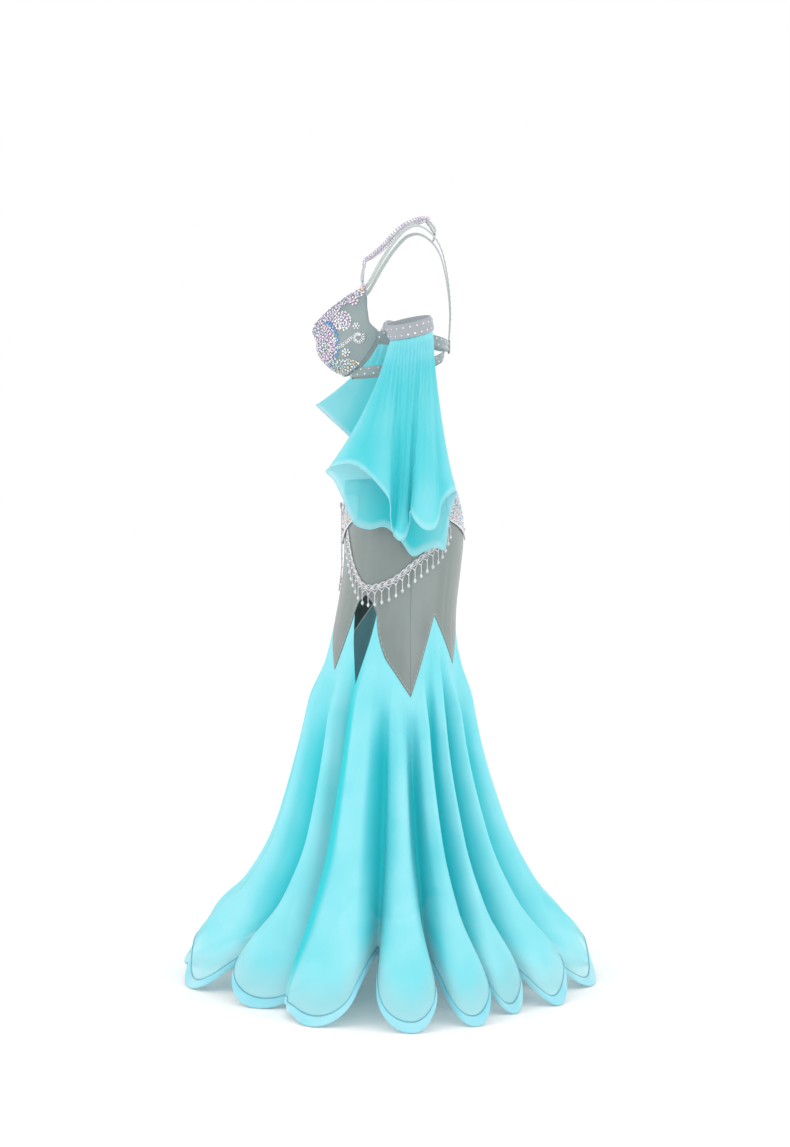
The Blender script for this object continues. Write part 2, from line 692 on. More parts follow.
sleeves = [
    {
        "name": "left", "side": 1, "top": (200, 27, 1226), "tilt": (9, 12), "cutLong": 0.34,
        "hem": [
            (-90, 195, -125, 968), (-78, 226, -103, 980), (-66, 254, -76, 982), (-54, 276, -52, 968),
            (-44, 290, -28, 944), (-34, 284, -10, 918), (-26, 254, -8, 884), (-18, 238, -4, 858),
            (-8, 245, 1, 850), (2, 252, 9, 845), (12, 248, 19, 850), (20, 237, 26, 872),
            (28, 257, 27, 898), (36, 276, 34, 884), (46, 284, 50, 868), (56, 274, 68, 866),
            (66, 254, 78, 878), (76, 236, 84, 908), (86, 224, 98, 926), (98, 205, 112, 930),
            (110, 191, 100, 890), (124, 188, 92, 828), (138, 188, 74, 829), (152, 187, 54, 822),
            (166, 186, 31, 814), (182, 185, 8, 844), (200, 183, -18, 866), (222, 183, -48, 862),
            (240, 185, -76, 874), (252, 188, -94, 916), (262, 190, -110, 950),
        ],
    },
    {
        "name": "right", "side": -1, "top": (200, 14, 1228), "tilt": (9, -22), "cutLong": 0.28,
        "hem": [
            (-90, 205, -157, 1090), (-74, 236, -140, 1082), (-60, 258, -112, 1050), (-48, 268, -84, 1018),
            (-38, 262, -62, 985), (-28, 242, -52, 952), (-18, 238, -38, 930), (-8, 251, -24, 918),
            (2, 264, -8, 905), (12, 262, 6, 898), (22, 247, 14, 905), (32, 257, 20, 925),
            (44, 278, 30, 905), (58, 270, 54, 898), (76, 244, 66, 920), (94, 208, 94, 932),
            (112, 187, 84, 896), (132, 190, 58, 868), (150, 189, 34, 860), (168, 186, 8, 884),
            (188, 185, -22, 920), (208, 184, -54, 974), (230, 188, -86, 1022), (252, 194, -130, 1064),
        ],
    },
]
# A place on a hem is the bearing on the arm band from which its cloth falls, and x, y and z.
sleeve = {
    "bandRadius": 39, "bandHeight": 27, "gather": 0.16, "deepestGather": 1.6,
    "foldRun": 4, "foldStart": 2.2, "flare": 1.08, "hemRoll": 0.75,
}
# Soft creases of the sleeves: place on the hem, where they start and end down the sleeve, width in
# places and depth.
sleeveCreases = {
    "left": [
        (1.2, 0.15, 0.9, 0.35, 2.2), (2.6, 0.3, 0.95, 0.3, -1.8), (4.1, 0.1, 0.7, 0.3, 2.0),
        (5.6, 0.2, 1.0, 0.25, -2.2), (7.4, 0.1, 0.8, 0.3, 1.6), (8.6, 0.25, 1.0, 0.35, -1.6),
        (9.7, 0.1, 0.65, 0.25, 1.8), (12.3, 0.1, 0.8, 0.3, 2.2), (13.8, 0.3, 1.0, 0.3, -2.0),
        (15.4, 0.1, 0.9, 0.35, 2.4), (17.0, 0.2, 1.0, 0.3, -1.8), (18.6, 0.1, 0.8, 0.3, 2.0),
        (20.5, 0.15, 1.0, 0.4, -2.0), (22.4, 0.1, 0.8, 0.3, 2.2), (24.3, 0.2, 1.0, 0.35, -1.8),
        (26.5, 0.1, 0.9, 0.4, 2.2), (28.4, 0.2, 1.0, 0.3, -2.0), (30.2, 0.1, 0.8, 0.3, 1.8),
    ],
    "right": [
        (0.8, 0.15, 0.9, 0.35, 2.0), (2.4, 0.2, 0.95, 0.3, -1.8), (4.2, 0.1, 0.8, 0.3, 2.0),
        (6.0, 0.2, 1.0, 0.3, -2.0), (7.8, 0.1, 0.8, 0.3, 1.8), (9.5, 0.2, 1.0, 0.3, -1.8),
        (11.6, 0.1, 0.9, 0.35, 2.2), (13.4, 0.2, 1.0, 0.3, -2.0), (15.2, 0.1, 0.8, 0.3, 2.0),
        (17.1, 0.2, 1.0, 0.35, -1.8), (19.2, 0.1, 0.9, 0.3, 2.2), (21.3, 0.2, 1.0, 0.35, -2.0),
    ],
}


def creaseRun(creases, turn, share, count):
    depth = 0 * (turn + share)
    for at, top, low, width, deep in creases:
        away = (np.mod(turn - at + count / 2, count) - count / 2) / width
        run = np.clip((share - top) / (low - top), 0, 1)
        depth = depth + deep * np.exp(-(away**2)) * np.sin(math.pi * run) ** 0.7
    return depth


def onArm(arm, points):
    a, b = math.radians(arm["tilt"][1]), math.radians(arm["tilt"][0])
    turnX = np.array([[1, 0, 0], [0, math.cos(a), -math.sin(a)], [0, math.sin(a), math.cos(a)]])
    turnY = np.array([[math.cos(b), 0, math.sin(b)], [0, 1, 0], [-math.sin(b), 0, math.cos(b)]])
    return points @ (turnX @ turnY).T + np.array(arm["top"])


# Places on a sleeve's hem, by a smooth closed curve through its table.
def hemPlace(arm, turn):
    hem = np.array(arm["hem"], float)
    i = np.floor(turn).astype(int)
    t = (turn - i)[..., None]
    before, here, after, beyond = (hem[(i + k) % len(hem)] for k in (-1, 0, 1, 2))
    slope, slopeNext = (after - before) / 2, (beyond - here) / 2
    rise = after - here
    smooth = (
        here
        + slope * t
        + (3 * rise - 2 * slope - slopeNext) * t**2
        + (slope + slopeNext - 2 * rise) * t**3
    )
    gap = np.mod(after[..., 0] - here[..., 0], 360)
    return here[..., 0] + gap * t[..., 0], gap, smooth[..., 1:]


def flouncePoint(arm, turn, share):
    turn, share = np.broadcast_arrays(np.asarray(turn, float), np.asarray(share, float))
    on, gap, end = hemPlace(arm, turn)
    run = sleeve["foldRun"]
    calm = sum(hemPlace(arm, turn + k)[2] for k in range(-run, run + 1)) / (2 * run + 1)
    deep = np.minimum(sleeve["gather"] * gap, sleeve["deepestGather"])
    gathers = deep * np.cos(2 * math.pi * turn) * (1 - share) * np.minimum(share * 20, 1)
    radius = sleeve["bandRadius"] + gathers
    start = onArm(arm, stacked(radius * cosd(on), radius * sind(on), -sleeve["bandHeight"] / 2))
    start = start - [0, 0, seamGap]
    p = lerp(start, calm, share[..., None] ** sleeve["flare"])
    p = p + (end - calm) * share[..., None] ** sleeve["foldStart"]
    p[..., 2] = lerp(start[..., 2], end[..., 2], share)
    return p


def makeFlounce(arm):
    count = len(arm["hem"])
    turn = np.linspace(0, count, count * 12 + 1)[:-1][None, :]
    share = np.linspace(0.002, 1, 96)[:, None]
    points = flouncePoint(arm, turn, share)
    middle = points.mean(axis=1, keepdims=True)
    normal = gridNormals(points, middle, loop=True)
    crease = creaseRun(sleeveCreases[arm["name"]], turn, share, count)
    points = points + normal * (crease - 0.5)[..., None]
    away = np.linalg.norm(points[..., :2] - middle[..., :2], axis=-1)
    mean = np.mean([np.roll(away, k, axis=1) for k in range(-40, 41, 4)], axis=0)
    fold = np.clip(0.5 - (away - mean) / (14 + 30 * share), 0, 1) * ease(share * 4)
    values = {"fold": fold, "rim": ease((share - 0.955) / 0.03) + 0 * turn}
    name = "cloth_sleeve_" + arm["name"]
    points = points * [arm["side"], 1, 1]
    piece = sheetPiece(name, points, sleeveChiffon, "aqua_chiffon", loop=True, values=values)
    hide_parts("sleeve_" + arm["name"])
    # the hem is rolled
    turn = np.linspace(0, count, count * 24 + 1)[:-1]
    end = flouncePoint(arm, turn, 1)
    nearly = flouncePoint(arm, turn, 0.985)
    down = (end - nearly) / np.linalg.norm(end - nearly, axis=-1, keepdims=True)
    along = np.roll(end, -1, axis=0) - np.roll(end, 1, axis=0)
    out = np.cross(along, down)
    out /= np.maximum(np.linalg.norm(out, axis=-1, keepdims=True), 1e-9)
    around = np.linspace(0, 2 * math.pi, 7)
    ring = [end + (out * math.cos(a) + down * math.sin(a)) * sleeve["hemRoll"] for a in around]
    roll = np.array(ring) * [arm["side"], 1, 1]
    sheetPiece("sleeve_hem_" + arm["name"], roll, braidCloth, "aqua_chiffon", loop=True)


# The arm band's section: share of its height and distance out.
armBandSection = [
    (-0.5, 0), (-0.5, 1.2), (-0.42, 2.6), (-0.2, 3.4), (0.2, 3.4), (0.42, 2.6), (0.5, 1.2), (0.5, 0),
    (0, 0), (-0.5, 0),
]


def makeArmBand(arm):
    at = np.linspace(0, 360, 121)[:-1]
    rings = []
    for share, out in armBandSection:
        r = sleeve["bandRadius"] + out
        rings.append(onArm(arm, stacked(r * cosd(at), r * sind(at), share * sleeve["bandHeight"])))
    points = np.array(rings) * [arm["side"], 1, 1]
    piece = sheetPiece("cloth_arm_band_" + arm["name"], points, armSatin, "grey_satin", loop=True)
    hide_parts("arm_band_" + arm["name"])
    declareSheet(piece, 0.055)


for arm in sleeves:
    makeArmBand(arm)
    makeFlounce(arm)
print("sleeves made")


# Templates are one unit wide and stand on the cloth: corners, faces and each facet's own brightness.
def turnedTemplate(rings, sides, shine, closed=True):
    corners, faces, light = [], [], []
    for radius, up in rings:
        for k in range(sides):
            a = 2 * math.pi * k / sides
            corners.append((radius * math.cos(a), radius * math.sin(a), up))
    for i in range(len(rings) - 1):
        for k in range(sides):
            m = (k + 1) % sides
            faces.append((i * sides + k, i * sides + m, (i + 1) * sides + m, (i + 1) * sides + k))
            light.append(shine[i][k % len(shine[i])])
    if closed:
        faces.append(tuple(range((len(rings) - 1) * sides, len(rings) * sides)))
        light.append(shine[-1][0])
    return {"corners": np.array(corners), "faces": faces, "light": np.array(light)}


templates = {
    "stone": turnedTemplate(
        [(0.42, 0), (0.5, 0.14), (0.27, 0.34)],
        8,
        [(0.8, 0.6), (1.25, 0.62, 1.0, 0.75, 1.35, 0.66, 1.0, 0.58), (1.2,)],
    ),
    "seed": turnedTemplate([(0.38, 0), (0.5, 0.28), (0.26, 0.62)], 6, [(0.7, 0.9), (1, 1.2, 0.85), (1.3,)]),
    "pearl": turnedTemplate([(0.34, 0.04), (0.5, 0.34), (0.42, 0.7), (0.16, 0.9)], 7, [(1,)] * 4),
    "diamond": turnedTemplate(
        [(0.05, -1.0), (0.5, -0.1), (0.42, 0.1), (0.05, 0.9)],
        6,
        [(1.1, 0.7, 1), (0.6, 1), (1.2, 0.8, 1), (1,)],
    ),
}
tints = {
    "clear": (0.84, 0.87, 0.90), "lilac": (0.70, 0.58, 0.86), "pink": (0.90, 0.62, 0.78),
    "aqua": (0.38, 0.76, 0.86), "blue": (0.03, 0.30, 0.68), "gold": (0.84, 0.56, 0.28),
    "cream": (0.86, 0.80, 0.68), "silver": (0.66, 0.68, 0.69), "white": (0.90, 0.90, 0.90),
}


# Gathers beads of all kinds and joins them into one mesh.
class BeadTray:
    def __init__(self):
        self.points, self.loops, self.sizes, self.colours, self.smooth = [], [], [], [], []
        self.count = 0

    def lay(self, kind, places, normals, width, tint, turn=0, long=1, tall=1):
        places = np.atleast_2d(np.asarray(places, float))
        n = len(places)
        if n == 0:
            return
        template = templates[kind]
        up = np.broadcast_to(np.asarray(normals, float), (n, 3))
        up = up / np.linalg.norm(up, axis=1, keepdims=True)
        side = np.cross(np.where(np.abs(up[:, 2:3]) < 0.9, [[0.0, 0.0, 1.0]], [[1.0, 0.0, 0.0]]), up)
        side /= np.linalg.norm(side, axis=1, keepdims=True)
        rest = np.cross(up, side)
        turn = np.broadcast_to(np.asarray(turn, float), n)[:, None]
        across = side * np.cos(turn) + rest * np.sin(turn)
        ahead = rest * np.cos(turn) - side * np.sin(turn)
        width = np.broadcast_to(np.asarray(width, float), n)[:, None, None]
        c = template["corners"]
        local = (
            across[:, None, :] * c[None, :, 0:1] * np.reshape(np.broadcast_to(long, n), (n, 1, 1))
            + ahead[:, None, :] * c[None, :, 1:2]
            + up[:, None, :] * c[None, :, 2:3] * tall
        )
        points = places[:, None, :] + local * width
        tint = np.broadcast_to(np.asarray(tint, float), (n, 3))
        flash = rng.uniform(0.8, 1.2, (n, len(template["light"])))
        for k, face in enumerate(template["faces"]):
            index = self.count + np.arange(n)[:, None] * len(c) + np.array(face)[None, :]
            self.loops.append(index.reshape(-1))
            self.sizes.append(np.full(n, len(face)))
            shade = np.clip(tint * (template["light"][k] * flash[:, k])[:, None], 0, 0.96)
            self.colours.append(np.repeat(shade, len(face), axis=0))
            self.smooth.append(np.full(n, kind == "pearl"))
        self.points.append(points.reshape(-1, 3))
        self.count += n * len(c)

    def piece(self, name, slot):
        return meshPiece(
            name,
            toRow(np.concatenate(self.points)),
            np.concatenate(self.sizes),
            np.concatenate(self.loops),
            crystal,
            slot,
            smooth=np.concatenate(self.smooth),
            colours=np.concatenate(self.colours),
        )


def pick(names, n):
    return np.array([tints[k] for k in names])[rng.integers(0, len(names), n)]


# Which of many places can take a bead beside those already there, biggest first. Under 1, tight lets
# them overlap a little.
def spaced(places, widths, taken, takenWidths, tight=0.96):
    chosen = []
    bulk = np.array(taken).reshape(-1, 3)
    bulkWidths = np.array(takenWidths, float)
    for k in np.argsort(-widths, kind="stable"):
        reach = (bulkWidths + widths[k]) * 0.5 * tight
        if len(bulk) and np.any(np.sum((bulk - places[k]) ** 2, axis=1) < reach**2):
            continue
        bulk = np.vstack([bulk, places[k]])
        bulkWidths = np.append(bulkWidths, widths[k])
        chosen.append(k)
    return np.array(chosen, int)


# A motif is a list of beads in its own plane: kind, x, y, width, tint, turn, long.
def flower(x, y, r, petals, petalTint, middleTint, spin=0):
    beads = [("pearl" if middleTint == "cream" else "stone", x, y, r * 0.62, middleTint, 0, 1)]
    for k in range(petals):
        a = spin + 2 * math.pi * k / petals
        across, up = r * 0.72 * math.cos(a), r * 0.72 * math.sin(a)
        beads.append(("stone", x + across, y + up, r * 0.42, petalTint, a, 1.75))
        b = a + math.pi / petals
        beads.append(("seed", x + r * 1.1 * math.cos(b), y + r * 1.1 * math.sin(b), 2.0, "silver", 0, 1))
    return beads


def scroll(x, y, r, start, turns, tint="silver", width=2.2, grow=0.72):
    beads = []
    length = 2 * math.pi * abs(turns) * r * 0.62
    n = int(length / width)
    for k in range(n):
        t = k / n
        rr = r * (1 - grow * t)
        a = start + 2 * math.pi * turns * t
        beads.append(("seed", x + rr * math.cos(a), y + rr * math.sin(a), width, tint, a, 1))
    return beads


def leaf(x, y, angle, long, tint):
    beads = []
    for k in range(5):
        t = k / 4
        wide = math.sin(math.pi * (0.15 + 0.75 * t)) * long * 0.2
        for side in (-1, 1):
            along, off = t * long, side * wide
            px = x + along * math.cos(angle) - off * math.sin(angle)
            py = y + along * math.sin(angle) + off * math.cos(angle)
            beads.append(("stone", px, py, 3.0, tint, angle + side * 0.6, 1.5))
    return beads


def layMotif(tray, beads, chart, taken, takenWidths):
    for kind, x, y, width, tint, turn, long in beads:
        place, normal = chart(np.array([x]), np.array([y]))
        tray.lay(kind, place, normal, width, tints[tint], turn, long)
        taken.append(place[0])
        takenWidths.append(width * (1 + (long - 1) * 0.5))


def makeCrystal():
    stone = Finish("crystals and beads", Roughness=0.16, Metallic=0.12, Coat_Weight=0.6, Coat_Roughness=0.06)
    tint = stone.wire("ShaderNodeAttribute", {"attribute_name": "tint"}, output="Color")
    play = stone.between(stone.noise(240, 1), 0.4, 0.62)
    glint = stone.between(stone.noise(700, 1), 0.52, 0.66)
    stone.feed(Base_Color=stone.mixed(tint, (0.78, 0.66, 0.86), play * 0.22), Roughness=glint * 0.16 + 0.08)
    return stone.material


def makeMetal():
    metal = Finish("ring metal", Metallic=0.9, Roughness=0.25)
    worn = metal.between(metal.noise(180, 3), 0.35, 0.75)
    base = metal.mixed((0.42, 0.45, 0.38), (0.22, 0.25, 0.20), worn)
    metal.feed(Base_Color=base, Roughness=worn * 0.2 + 0.18)
    return metal.material


crystal = makeCrystal()
ringMetal = makeMetal()


def hipNormal(bearing, z):
    side = readTable(skirtSections, "z", z, "side")
    back, front = (readTable(skirtSections, "z", z, column) for column in ("back", "front"))
    deep = np.where(sind(bearing) > 0, back, front)
    n = stacked(cosd(bearing) / side, sind(bearing) / deep, 0 * z)
    return n / np.linalg.norm(n, axis=-1, keepdims=True)


appliques = {
    "plate": 2.2,
    "laid": 0.6,
    "front": {"at": -90, "half": 47, "top": 922, "low": 822, "shoulder": 884},
    "back": {"at": 90, "half": 38, "top": 921, "low": 830, "shoulder": 874},
}


def appliqueBottom(row, u):
    return lerp(row["low"], row["shoulder"], np.abs(u) ** 0.8)


def makeApplique(name):
    row = appliques[name]
    facing = 1 if row["at"] > 0 else -1
    proud = appliques["laid"] + appliques["plate"] * 0.55

    def chart(x, z):
        share = np.clip(x / readTable(skirtSections, "z", z, "side"), -1, 1)
        bearing = facing * np.degrees(np.arccos(share))
        return hipPoint(bearing, z, proud), hipNormal(bearing, z)

    u = np.linspace(-1, 1, 90)[None, :]
    down = np.linspace(0, 1, 30)[:, None]
    z = lerp(row["top"] - 1, appliqueBottom(row, u) + 2 + 1.5 * np.sin(u * 60), down)
    backing = hipPoint(row["at"] + row["half"] * 0.985 * u + 0 * z, z, proud - 0.2)
    cloth = sheetPiece("applique_backing_" + name, backing, greySatin, "bead_applique", thick=0.9)
    declareSheet(cloth, 0.1)

    tray, taken, widths = BeadTray(), [], []
    wide = 1 if name == "front" else 0.86
    motifs = [
        flower(0, 884, 15, 8, "blue", "clear"),
        flower(0, 852, 9, 6, "pink", "cream", 0.3),
        leaf(12, 849, 0.12, 15, "aqua") + leaf(-12, 849, math.pi - 0.12, 15, "aqua"),
    ]
    for side in (-1, 1):
        motifs += [
            flower(side * 37 * wide, 896, 11, 7, "aqua", "cream", 0.2),
            flower(side * 66 * wide, 905, 9, 6, "blue", "gold", 0.5),
            flower(side * 92 * wide, 911, 7, 6, "lilac", "clear"),
            scroll(side * 24 * wide, 866, 10, 1.2, side * 1.1),
            scroll(side * 54 * wide, 884, 9, 0.4, -side * 1.1),
            scroll(side * 80 * wide, 896, 7, 2.2, side * 1.0),
        ]
    for motif in motifs:
        layMotif(tray, motif, chart, taken, widths)
    n = 15000
    uu, vv = rng.uniform(-0.97, 0.97, n), rng.uniform(0, 1, n)
    zz = lerp(row["top"] - 2.5, appliqueBottom(row, uu) + 3, vv)
    bearing = row["at"] + row["half"] * uu
    size = rng.choice([6.0, 4.6, 3.4, 2.5, 2.0], n, p=[0.02, 0.07, 0.2, 0.36, 0.35])
    places, normals = hipPoint(bearing, zz, proud), hipNormal(bearing, zz)
    chosen = spaced(places, size, taken, widths)
    colours = pick(["clear", "lilac", "clear", "pink", "aqua", "silver", "lilac", "gold", "clear"], n)
    big = chosen[size[chosen] > 3]
    small = chosen[size[chosen] <= 3]
    tray.lay("stone", places[big], normals[big], size[big], colours[big], rng.uniform(0, 6, len(big)))
    tray.lay("seed", places[small], normals[small], size[small], colours[small])
    edge = np.linspace(-0.98, 0.98, 84)
    low = appliqueBottom(row, edge) + 1.6
    along = row["at"] + row["half"] * edge
    tray.lay("pearl", hipPoint(along, low, proud), hipNormal(along, low), 2.8, tints["white"])
    piece = tray.piece("applique_" + name + "_beads", "bead_applique")
    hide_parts("applique_" + name)


swag = {
    "columns": ("at", "z"),
    "rows": [
        (-66, 853), (-52, 795), (-38, 760), (-28, 752), (-15, 757),
        (0, 770), (13, 793), (26, 815), (40, 839), (51.8, 881),
    ],
}
fringe = {"drops": 25, "stand": 2.6, "length": 36, "seed": 2.3, "diamond": 6.4, "join": 9}


def swagLine(shares):
    at = np.linspace(swag["rows"][0][0], swag["rows"][-1][0], 481)
    z = readTable(swag, "at", at, "z")
    points = hipPoint(at, z)
    run = np.concatenate([[0], np.cumsum(np.linalg.norm(np.diff(points, axis=0), axis=1))])
    where = np.interp(np.asarray(shares) * run[-1], run, at)
    return where, readTable(swag, "at", where, "z")


def makeFringe(name, side):
    tray = BeadTray()
    flip = np.array([side, 1, 1])

    def put(kind, at, z, out, width, tint, **more):
        places, normals = hipPoint(at, z, out) * flip, hipNormal(at, z) * flip
        tray.lay(kind, places, normals, width, tint, **more)

    share = (np.arange(fringe["drops"]) + 0.5) / fringe["drops"]
    half = 0.5 / fringe["drops"]
    for oval, lift in ((1.12, 1.0), (0.78, 1.7)):
        for a in np.arange(20) / 20 * 2 * math.pi:
            at, z = swagLine(np.clip(share + half * oval * math.cos(a), 0, 1))
            put("seed", at, z + 5.0 * oval * math.sin(a), lift, 2.1, tints["silver" if oval > 1 else "white"])
    for t in (-0.4, 0, 0.4):
        at, z = swagLine(np.clip(share + half * t, 0, 1))
        put("pearl", at, z, 1.6, 2.9, tints["silver"])
    at, z = swagLine(share)
    drop = np.arange(0, 1.01, 0.1) * fringe["length"]
    stand = np.array([np.linalg.norm(hipPoint(a, h - drop)[:, :2], axis=1).max() for a, h in zip(at, z)])
    swell = stand - np.linalg.norm(hipPoint(at, z)[:, :2], axis=1)
    out = fringe["stand"] + swell + 2.4
    for t in np.linspace(0, 1, 6):
        for way in (-1, 1):
            a, h = swagLine(np.clip(share + way * half * 0.96 * (1 - t), 0, 1))
            places = lerp(hipPoint(a, h, fringe["stand"]), hipPoint(at, z, out), t)
            places[:, 2] = lerp(h - 5.4, z - 5.4 - fringe["join"], t)
            tray.lay("seed", places * flip, hipNormal(at, z) * flip, fringe["seed"], tints["white"])
    stem = np.arange(5.4 + fringe["join"], fringe["length"] - fringe["diamond"] * 1.3, fringe["seed"])
    for down in stem:
        places = hipPoint(at, z, out)
        places[:, 2] = z - down
        tray.lay("seed", places * flip, hipNormal(at, z) * flip, fringe["seed"] * 0.95, tints["white"])
    places = hipPoint(at, z, out)
    places[:, 2] = z - fringe["length"] + fringe["diamond"] * 0.75
    tray.lay("diamond", places * flip, [[0, 0, 1.0]], fringe["diamond"], tints["white"], tall=0.75)
    piece = tray.piece("hip_fringe_beads_" + name, "silver_fringe")
    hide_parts("hip_fringe_" + name)


tassel = {
    "strands": 7,
    "pitch": 4.6,
    "top": 898,
    "low": 734,
    "proud": 6.8,
    "bead": 3.0,
    "plate": (31, 2.6, 8.6),
}


def makeTassel():
    tray = BeadTray()
    face = hipPoint(-90, tassel["top"], 0)[1] - tassel["proud"]
    for k in range(tassel["strands"]):
        across = (k - (tassel["strands"] - 1) / 2) * tassel["pitch"]
        low = tassel["low"] + abs(across) * 1.5
        z = np.arange(tassel["top"] - 5, low + 8, -tassel["bead"] * 0.92)
        share = (tassel["top"] - z) / (tassel["top"] - low)
        y = np.minimum(face, hipPoint(-90 + 0 * z, z, 3.2)[:, 1])
        sway = 0.5 * np.sin(z / 13 + k * 1.7)
        places = stacked(across * lerp(0.8, 1, share) + sway, y, z)
        big = np.arange(len(z)) % 6 == 5
        tray.lay("pearl", places[~big], [[0, 0, 1.0]], tassel["bead"], tints["white"])
        tray.lay("diamond", places[big], [[0, 0, 1.0]], tassel["bead"] * 1.35, tints["clear"], tall=0.6)
        end = places[-1] - [0, 0, 5.5]
        tray.lay("diamond", end, [[0, 0, 1.0]], 4.4, tints["silver"], tall=1.0)
    front = [[0, -1.0, 0]]
    for k in range(7):
        x = (k - 3) * 4.4
        place = (x, face - 1.4, tassel["top"] + 1 - 1.2 * math.cos(x / 6))
        tray.lay("stone", place, front, 5.4 if k == 3 else 4.2, tints["lilac" if k % 2 else "clear"])
        tray.lay("seed", (x, face - 1.2, tassel["top"] - 3.6), front, 2.6, tints["silver"])
        tray.lay("seed", (x, face - 1.2, tassel["top"] + 4.6), front, 2.6, tints["silver"])
    plate = boxMesh((0, face + 0.2, tassel["top"] + 1), tassel["plate"])
    meshPiece("tassel_plate", *plate, ringMetal, "silver_fringe")
    piece = tray.piece("front_tassel_beads", "silver_fringe")
    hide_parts("front_tassel")


# A plate with rounded edges, as points, face sizes and loops.
def boxMesh(middle, size):
    rings = []
    turn = np.linspace(0, 2 * math.pi, 33)[:-1]
    half = np.array(size) / 2
    square = lambda v: np.sign(v) * np.abs(v) ** 0.35
    x, z = square(np.cos(turn)) * half[0], square(np.sin(turn)) * half[2]
    for inset, y in ((0.6, -1), (0.96, -0.95), (1, -0.7), (1, 0.7), (0.96, 0.95), (0.6, 1)):
        rings.append(stacked(x * inset, y * half[1], z * inset))
    points = np.concatenate(rings) + np.array(middle)
    loops = gridLoops(len(rings), len(turn), True)
    caps = np.concatenate([np.arange(len(turn))[::-1], np.arange(len(turn)) + 5 * len(turn)])
    sizes = np.concatenate([np.full(len(loops) // 4, 4), [len(turn), len(turn)]])
    return toRow(points), sizes, np.concatenate([loops, caps])


# Two rows of stones round each arm band, set in a zigzag.
def makeArmStones(arm):
    tray = BeadTray()
    flip = np.array([arm["side"], 1, 1])
    count = 21
    for k, share in enumerate((0.24, -0.24)):
        at = (np.arange(count) + 0.5 * k) * 360 / count
        place = lambda r: onArm(arm, stacked(r * cosd(at), r * sind(at), share * sleeve["bandHeight"])) * flip
        surface = place(sleeve["bandRadius"] + 3.1)
        normals = place(sleeve["bandRadius"] + 4) - surface
        tray.lay("stone", surface, normals, 4.2, pick(["lilac", "clear", "lilac", "pink"], count))
    tray.piece("arm_band_stones_" + arm["name"], "grey_satin")


for arm in sleeves:
    makeArmStones(arm)
makeApplique("front")
makeApplique("back")
makeFringe("left", 1)
makeFringe("right", -1)
makeTassel()
print("hips beaded")


cup = {
    "outline": [
        (96, -58, 1303), (116, -54, 1276), (131, -47, 1240), (141, -30, 1219), (138, -42, 1192),
        (124, -64, 1163), (98, -84, 1147), (62, -97, 1144), (27, -101, 1157), (11, -99, 1186),
        (27, -112, 1214), (58, -124, 1243), (82, -101, 1273),
    ],
    "apex": (82, -141, 1214),
    "middle": (82, -66, 1219),
    "wall": 2.6,
}
# Ornament of a cup by how far forward and how high it is: arcs have a middle, radii, width, tints,
# number and length of their stones; blossoms have a radius, a number of petals, tints and a middle.
cupOrnament = {
    "arcs": [
        (-127, 1198, 22, 41, 5.8, ["blue", "blue", "aqua"], 15, 1),
        (-130, 1203, 13, 26, 4.8, ["lilac", "pink"], 11, 1.4),
    ],
    "blossoms": [
        (-132, 1213, 8, 7, ["pink", "lilac"], "pink"),
        (-121, 1186, 6.5, 6, ["clear", "lilac"], "gold"),
        (-60, 1300, 9, 7, ["pink", "lilac", "clear"], "gold"),
        (-76, 1279, 9, 7, ["pink", "clear"], "pink"),
        (-98, 1243, 8, 7, ["lilac", "clear"], "lilac"),
        (-71, 1232, 6.5, 6, ["clear", "silver"], "clear"),
        (-90, 1184, 8, 7, ["clear", "silver"], "clear"),
        (-86, 1158, 9, 8, ["clear", "aqua", "clear"], "gold"),
        (-103, 1160, 7, 6, ["clear", "silver"], "aqua"),
        (-72, 1156, 5, 6, ["clear", "silver"], "clear"),
    ],
    # the scroll's rows: radius, number, width, kind and tint
    "scroll": [
        (13, 25, 2.6, "seed", "silver"),
        (9.8, 14, 3.8, "stone", "clear"),
        (6.8, 14, 2.4, "seed", "white"),
    ],
    # its stalk's rows: lift, number, width and kind
    "stalk": [(-2.6, 12, 2.6, "seed"), (0.6, 8, 3.8, "stone"), (3.8, 12, 2.6, "seed")],
}


# Points on a smooth curve through some others, at shares of its length from 0 to 1.
def smoothLine(line, shares, closed=False):
    p = np.array(line, float)
    n = len(p)
    shares = np.asarray(shares, float)
    place = shares * (n if closed else n - 1)
    i = np.floor(place).astype(int)
    if closed:
        t = place - i
        a, b, c, d = (p[(i + k) % n] for k in (-1, 0, 1, 2))
    else:
        i = np.clip(i, 0, n - 2)
        t = place - i
        wide = np.vstack([2 * p[0] - p[1], p, 2 * p[-1] - p[-2]])
        a, b, c, d = (wide[i + k] for k in range(4))
    gap = lambda u, v: np.sqrt(np.linalg.norm(v - u, axis=-1, keepdims=True))
    g0, g1, g2 = gap(a, b), gap(b, c), gap(c, d)
    slopeB = ((b - a) / g0 - (c - a) / (g0 + g1) + (c - b) / g1) * g1
    slopeC = ((c - b) / g1 - (d - b) / (g1 + g2) + (d - c) / g2) * g1
    t = t[..., None]
    return (
        b
        + slopeB * t
        + (3 * (c - b) - 2 * slopeB - slopeC) * t**2
        + (slopeB + slopeC - 2 * (c - b)) * t**3
    )


